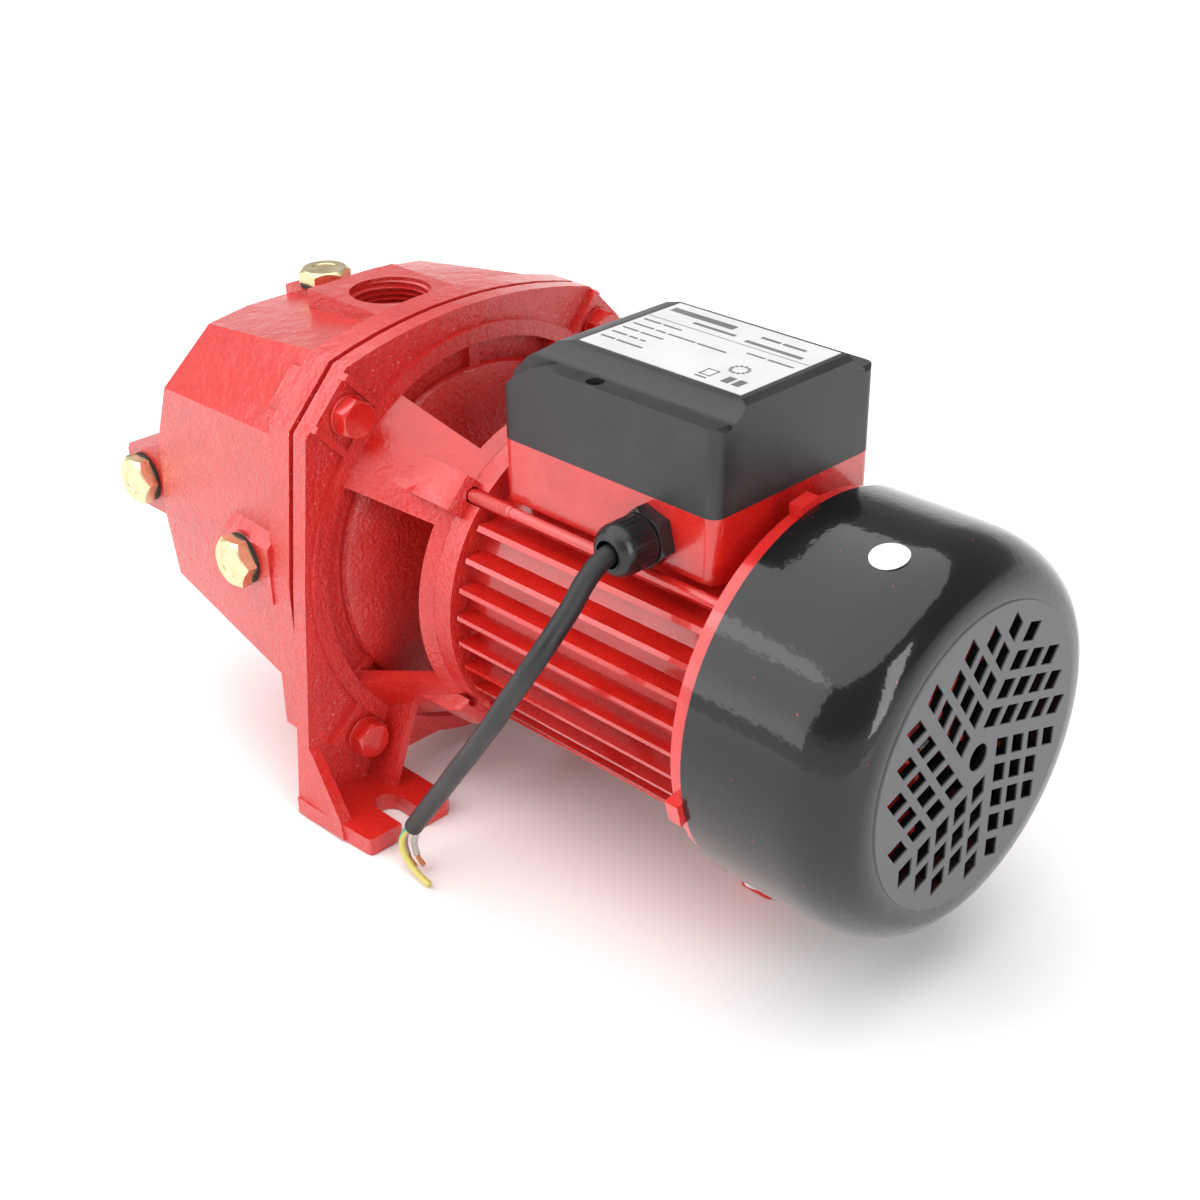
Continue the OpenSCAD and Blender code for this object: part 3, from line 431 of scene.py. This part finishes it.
def tube(name, run, radius, slot, replaced, sides=4):
    """A round cord piece along a run, which stands for one CAD node."""
    data = bpy.data.curves.new(name, "CURVE")
    data.dimensions = "3D"
    data.bevel_depth, data.bevel_resolution, data.use_fill_caps = radius * MM, sides, True
    line = data.splines.new("POLY")
    line.points.add(len(run) - 1)
    for point, place in zip(line.points, run):
        point.co = (*place, 1)
    line.use_smooth = True
    data.materials.append(MATERIALS[slot])
    piece = bpy.data.objects.new(name, data)
    bpy.context.scene.collection.objects.link(piece)
    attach(piece, BODY)
    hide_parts(replaced)
    return piece


# ---------- the cable and its three bared cores ----------

# radii in mm, and routes as points of the shaft frame in mm
CABLE_R, WIRE_R, STRAND_R = 3.6, 1.3, 0.33
GLAND_Z, SEAL_Y = 59.2, -56.5
CABLE_ROUTE = [
    (-23.1, SEAL_Y, GLAND_Z), (-23.05, -60, GLAND_Z), (-22.9, -63.5, 58.8), (-22.8, -68.1, 56.9),
    (-22.4, -74.1, 53), (-22.2, -79.7, 47.4), (-22.3, -86.8, 41.2), (-23.2, -92.05, 35.6),
    (-26.6, -95.3, 28.1), (-30.6, -96, 21.6), (-37, -96.1, 12.3), (-44.3, -96, 1.2),
    (-51.9, -95.6, -9.2), (-59.8, -95, -20), (-68.5, -94.1, -31.3), (-77.1, -93, -42.6),
    (-86.4, -91.9, -54.5), (-94.4, -91, -65), (-102, -90, -75)]
# each core's slot, the share of it that is sheathed, and its route
CORES = {
    "earth": ("wire_green", 1.0, [
        (-103, -91.3, -75.2), (-105.5, -92.2, -79), (-106.5, -93, -83.5), (-104, -93.8, -87.5),
        (-99.5, -94.2, -90.5), (-94, -94.4, -92.4), (-89, -94.5, -93.4)]),
    "live": ("wire_brown", 0.6, [
        (-103.3, -88.7, -75.8), (-106.8, -89, -79.5), (-109, -89.5, -84), (-107.5, -90.4, -88.5),
        (-103.5, -91.2, -91.6), (-97.5, -91.8, -93.1), (-92.5, -92, -93.5)]),
    "neutral": ("wire_grey", 0.5, [
        (-100.8, -89.4, -76.7), (-102.8, -89.2, -81), (-103.4, -89.2, -85.4), (-101.5, -89.4, -89.5),
        (-97.5, -89.3, -92.2), (-92.5, -89, -93.4), (-88, -88.9, -93.5)]),
}
CABLE_RUN = run_of(CABLE_ROUTE, 8)


def strands(name, run):
    """Six fine copper strands twisted loosely round a middle one, a little splayed at the tip."""
    points, faces = [], []
    outer = sides = 6
    twist = 2.2
    n = len(run)
    for k in range(outer + 1):
        start = 2 * math.pi * k / outer
        for i, place in enumerate(run):
            ahead = (run[min(i + 1, n - 1)] - run[max(i - 1, 0)]).normalized()
            u = ahead.cross(Vector((0, 0, 1))).normalized()
            v = ahead.cross(u)
            t = i / (n - 1)
            spread = 0.0 if k == outer else 0.62 + 0.14 * t
            turn = start + twist * t
            centre = place + MM * spread * (math.cos(turn) * u + math.sin(turn) * v)
            for s in range(sides):
                a = 2 * math.pi * s / sides
                points.append(centre + STRAND_R * MM * (math.cos(a) * u + math.sin(a) * v))
        base = k * n * sides
        for i in range(n - 1):
            for s in range(sides):
                t0, t1 = base + i * sides, base + (i + 1) * sides
                faces.append((t0 + s, t0 + (s + 1) % sides, t1 + (s + 1) % sides, t1 + s))
        faces.append(tuple(base + s for s in reversed(range(sides))))
        faces.append(tuple(base + (n - 1) * sides + s for s in range(sides)))
    return new_piece(name, points, faces, "copper_wire")


def make_cable():
    cable = tube("cable_sheath", CABLE_RUN, CABLE_R, "cable_rubber", "power_cable", sides=8)
    for name, (slot, sheathed, route) in CORES.items():
        run = run_of(route, 6)
        cut = int(len(run) * sheathed)
        tube(name + "_core", run[:cut], WIRE_R, slot, name + "_wire")
        if sheathed < 1:
            strands(name + "_strands", run[cut - 2:cut + 6])
    tuple(CABLE_RUN[0])
    round(length_of(CABLE_RUN), 4)


make_cable()


# ---------- threads ----------


def helix(name, start, along, radius, tip, pitch, turns, slot="cast_enamel"):
    """A thread's ridge from the radius of a bore or rod to its tip radius, in mm.

    It starts at the axis point start and winds along the axis. Its root is sunk into the wall.
    """
    per_turn, fade_steps, sunk = 48, 20, 0.3
    along = Vector(along)
    u = along.orthogonal().normalized()
    v = along.cross(u)
    steps = int(turns * per_turn)
    half, flat = 0.44 * pitch, 0.1 * pitch
    root = radius + math.copysign(sunk, radius - tip)
    points, faces = [], []
    for i in range(steps + 1):
        a = 2 * math.pi * i / per_turn
        fade = min(1.0, i / fade_steps, (steps - i) / fade_steps)
        out = math.cos(a) * u + math.sin(a) * v
        lift = along * (pitch * i / per_turn)
        crest = radius + (tip - radius) * fade
        for r, off in ((root, -half), (crest, -flat), (crest, flat), (root, half)):
            points.append(at(*(Vector(start) + lift + along * off + out * r)))
    for i in range(steps):
        for k in range(4):
            faces.append((4 * i + k, 4 * i + (k + 1) % 4, 4 * i + 4 + (k + 1) % 4, 4 * i + 4 + k))
    faces += [(3, 2, 1, 0), tuple(4 * steps + k for k in range(4))]
    return new_piece(name, points, faces, slot, smooth=False)


helix("outlet_thread", (-209, 0, 74), (0, 0, 1), 16.62, 15.3, 2.309, 6.4)
helix("suction_thread", (-277.5, 0, 13), (-1, 0, 0), 20.95, 19.6, 2.309, 6.4)
for side, y in (("left", -44.4), ("right", 44.4)):
    helix("tie_rod_thread_" + side, (-110.6, y, 46), (1, 0, 0), 2.5, 2.8, 1.0, 20.5, "gloss_enamel")

# ---------- nameplate print ----------


def print_bars():
    """Plain bars where the plate has its lines of print, and plain shapes where it has its marks."""
    vertices, faces = [], []
    lid_top, plate, ink, sunk = 110.8, 0.25, 0.05, 0.02
    deck = lid_top + plate

    def bar(x0, x1, y0, y1):
        n = len(vertices)
        vertices.extend(at(x, y, z) for z in (deck - sunk, deck + ink)
                        for x, y in ((x0, y0), (x1, y0), (x1, y1), (x0, y1)))
        faces.extend([(n, n + 3, n + 2, n + 1), (n + 4, n + 5, n + 6, n + 7)] +
                     [(n + k, n + (k + 1) % 4, n + 4 + (k + 1) % 4, n + 4 + k) for k in range(4)])

    def line(x0, y, height, words, gap=1.1):
        for width in words:
            bar(x0, x0 + width, y - height / 2, y + height / 2)
            x0 += width + gap

    line(-70, 19, 3.6, (29.5,))
    line(-55, 13.4, 1.7, (19.5,))
    line(-28, 18.4, 1.6, (8.5, 10))
    line(-30, 12.2, 2.0, (25,))
    bar(-72, 0.4, 8.6, 9.0)
    line(-70.6, 4.8, 1.1, (8, 8.6))
    line(-22, 3.8, 1.1, (8, 11))
    line(-70.6, -0.8, 1.1, (10, 4.4, 12.6, 13))
    line(-70.6, -6, 1.1, (7.5, 10.6))
    line(-70.6, -11.4, 1.1, (7.2, 4, 2.6))
    line(-70.6, -16.8, 1.1, (6.6, 12))
    # a ring, a square frame and a pair of blocks as stand-ins for the marks
    ring_x, ring_y, ring_r, dot = -13.6, -9.4, 3.2, 0.6
    for k in range(12):
        a = math.radians(30 * k)
        x, y = ring_x + ring_r * math.cos(a), ring_y + ring_r * math.sin(a)
        bar(x - dot, x + dot, y - dot, y + dot)
    for sides in ((-22, -17, -20.6, -20.0), (-22, -17, -15.6, -15.0), (-22, -21.4, -20.6, -15.0),
                  (-17.6, -17, -20.6, -15.0), (-22, -17, -22.8, -21.8)):
        bar(*sides)
    line(-12, -18.6, 5.2, (3.2, 3.2), 1.4)
    new_piece("nameplate_print", vertices, faces, "label_film", smooth=False, material=INK)


print_bars()

# ---------- floor and light ----------


def make_floor():
    """A wide sheet of paper in rings round the pump, gently lifted far from it. Lengths are in m."""
    p = Paint("floor_paper", Roughness=0.75)
    p.set(Base_Color=p.blend(p.noise(90, 2), (0.93, 0.93, 0.93), (0.95, 0.95, 0.95)))
    radii, level, flat_to, slope, n = (0.6, 1.2, 2.4, 5.0, 9.0), -0.0004, 2.4, 0.02, 48
    vertices = [(0, 0, level)]
    for radius in radii:
        z = level + slope * max(0.0, radius - flat_to)
        for k in range(n):
            a = 2 * math.pi * k / n
            vertices.append((radius * math.cos(a), radius * math.sin(a), z))
    faces = [(0, 1 + k, 1 + (k + 1) % n) for k in range(n)]
    for i in range(len(radii) - 1):
        inner, outer = 1 + n * i, 1 + n * (i + 1)
        faces += [(inner + k, outer + k, outer + (k + 1) % n, inner + (k + 1) % n) for k in range(n)]
    data = bpy.data.meshes.new("floor")
    data.from_pydata(vertices, [], faces)
    for face in data.polygons:
        face.use_smooth = True
    data.materials.append(p.material)
    floor = bpy.data.objects.new("floor", data)
    bpy.context.scene.collection.objects.link(floor)


def lamp(name, place, target, power, width, height):
    data = bpy.data.lights.new(name, "AREA")
    data.shape, data.size, data.size_y, data.energy = "RECTANGLE", width, height, power
    light = bpy.data.objects.new(name, data)
    light.location = place
    light.rotation_euler = (Vector(target) - Vector(place)).to_track_quat("-Z", "Y").to_euler()
    bpy.context.scene.collection.objects.link(light)


def sky_light(name, toward, spread, strength):
    """A very soft even light from one direction, toward pointing at the light."""
    data = bpy.data.lights.new(name, "SUN")
    data.angle, data.energy = math.radians(spread), strength
    light = bpy.data.objects.new(name, data)
    light.rotation_euler = (-Vector(toward)).to_track_quat("-Z", "Y").to_euler()
    bpy.context.scene.collection.objects.link(light)


def make_light():
    sky_light("overhead", (-0.25, -0.1, 1.0), 90, 3.0)
    lamp("left", (-0.9, -1.4, 0.8), (0, 0, 0.1), 12, 1.6, 1.2)
    lamp("right", (1.4, -0.4, 0.75), (0, 0, 0.1), 9, 0.5, 1.1)
    # a dim room that is white down at the horizon, where it meets the floor
    world = bpy.data.worlds.new("studio")
    world.use_nodes = True
    tree = world.node_tree
    height = tree.nodes.new("ShaderNodeSeparateXYZ")
    tree.links.new(tree.nodes.new("ShaderNodeTexCoord").outputs["Generated"], height.inputs["Vector"])
    fade = tree.nodes.new("ShaderNodeMapRange")
    for name, value in (("From Min", 0.12), ("From Max", 0.3), ("To Min", 1.05), ("To Max", 0.28)):
        fade.inputs[name].default_value = value
    tree.links.new(height.outputs["Z"], fade.inputs["Value"])
    tree.nodes["Background"].inputs["Color"].default_value = (1, 1, 1, 1)
    tree.links.new(fade.outputs["Result"], tree.nodes["Background"].inputs["Strength"])
    bpy.context.scene.world = world
    bpy.context.scene.view_settings.view_transform = "Standard"


make_floor()
make_light()
